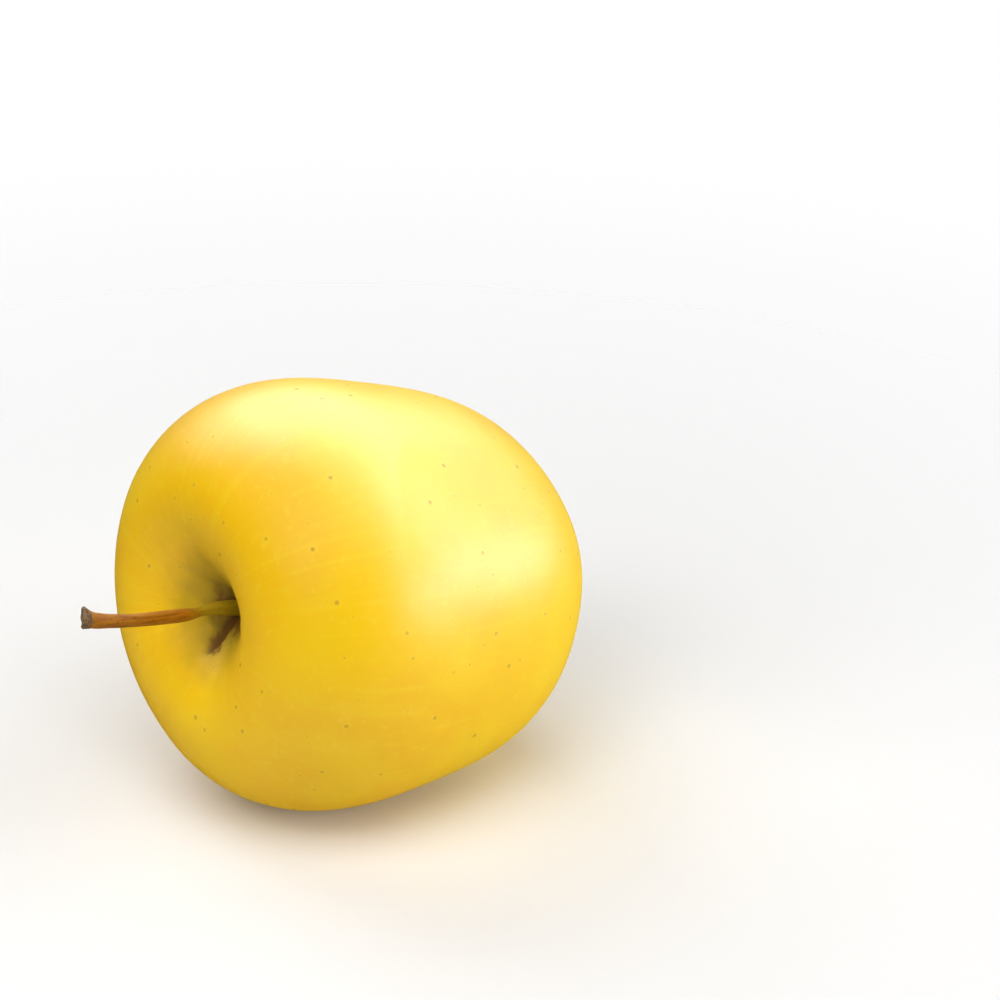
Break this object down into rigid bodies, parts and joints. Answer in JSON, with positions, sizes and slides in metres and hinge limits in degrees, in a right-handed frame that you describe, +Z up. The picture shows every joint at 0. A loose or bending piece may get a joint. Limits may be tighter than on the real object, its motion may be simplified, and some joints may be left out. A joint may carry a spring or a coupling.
{
  "type": "whole yellow apple",
  "caption": "Whole yellow-skinned apple lying on its side, with a woody stem in its cavity and dried sepals in the basin at the other end.",
  "frame": {"origin": "middle of the small flat spot that the fruit rests on", "axes": "+X horizontal, from the stem end towards the eye; +Z up; the core axis lies in the XZ plane, 9 degrees off level with the stem end up"},
  "size_m": [0.0951, 0.0753, 0.0757],
  "materials": {
    "skin": "waxy satin skin, golden yellow with small grey-brown dots, greenish in the stem cavity",
    "stem_wood": "dry orange-brown bark, grey at the flared end, greenish at the foot",
    "dried_sepals": "dry, brown and slightly woolly"
  },
  "bodies": {
    "root": {"apple_body": "skin", "stem": "stem_wood", "calyx": "dried_sepals"}
  },
  "joints": []
}
